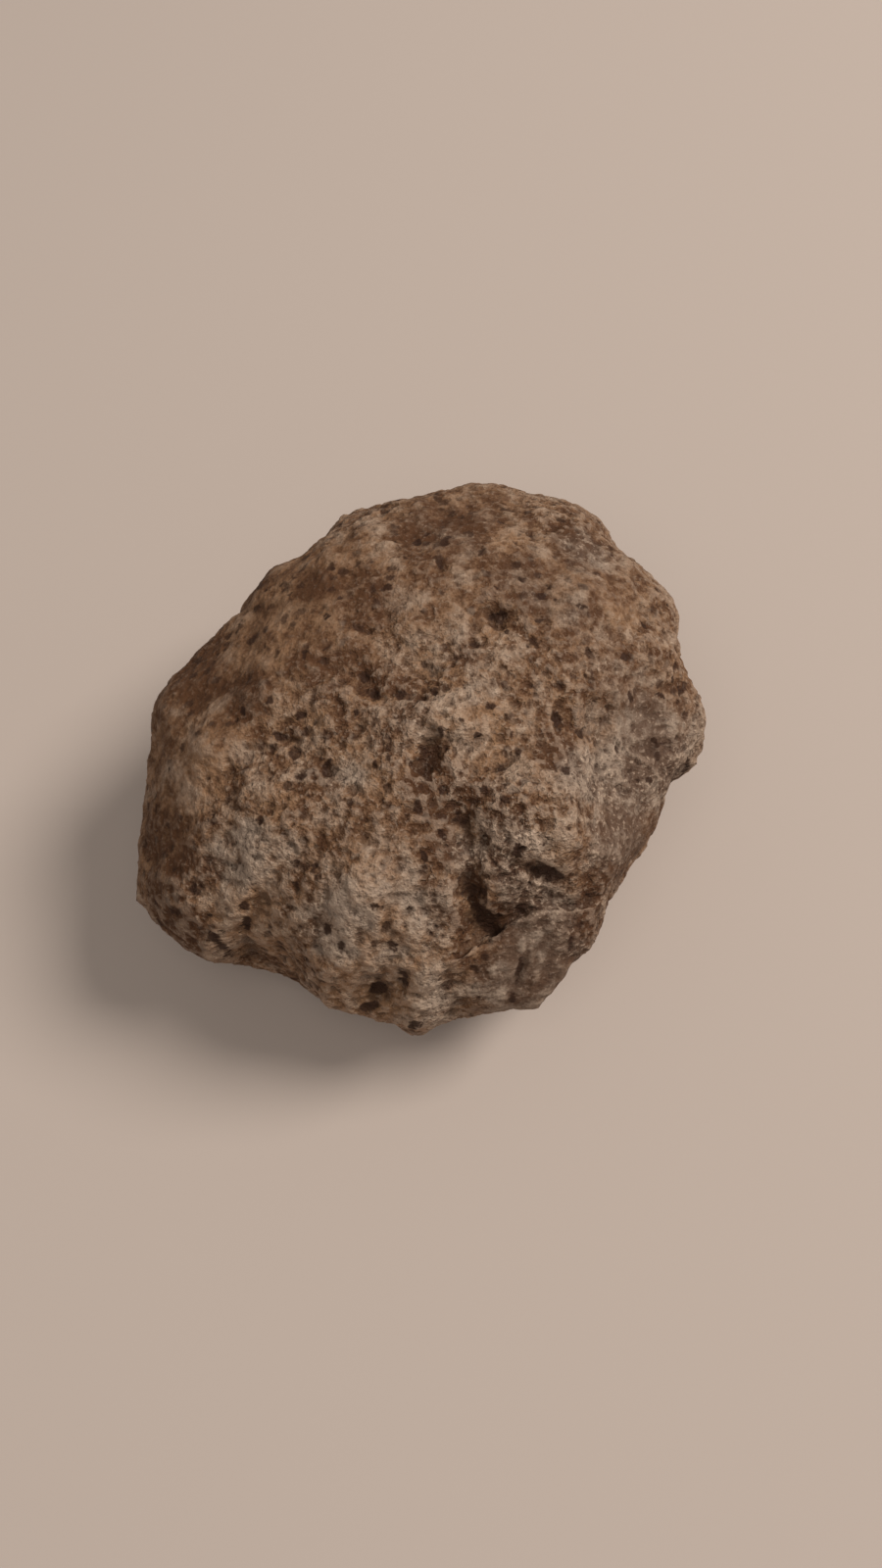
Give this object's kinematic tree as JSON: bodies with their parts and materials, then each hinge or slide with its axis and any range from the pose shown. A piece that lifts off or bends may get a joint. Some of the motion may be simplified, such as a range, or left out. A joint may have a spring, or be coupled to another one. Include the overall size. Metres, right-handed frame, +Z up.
{
  "type": "martian meteorite",
  "caption": "Loose martian meteorite stone with a broad lumpy pitted face, a broken grey face, a lower front shelf and a flat underside to rest on.",
  "frame": {"origin": "on the resting face, under the middle of the stone's box", "axes": "+Z up, +X to the stone's right, +Y to its back; the broad face looks up and leans 10 degrees towards the front, -Y"},
  "size_m": [0.0494, 0.049, 0.0285],
  "materials": {
    "weathered_stone": "matt fine-grained basaltic stone with a thin warm brown weathering varnish over a grey speckled matrix, dotted with small dark pits"
  },
  "bodies": {
    "root": {"stone": "weathered_stone"}
  },
  "joints": []
}
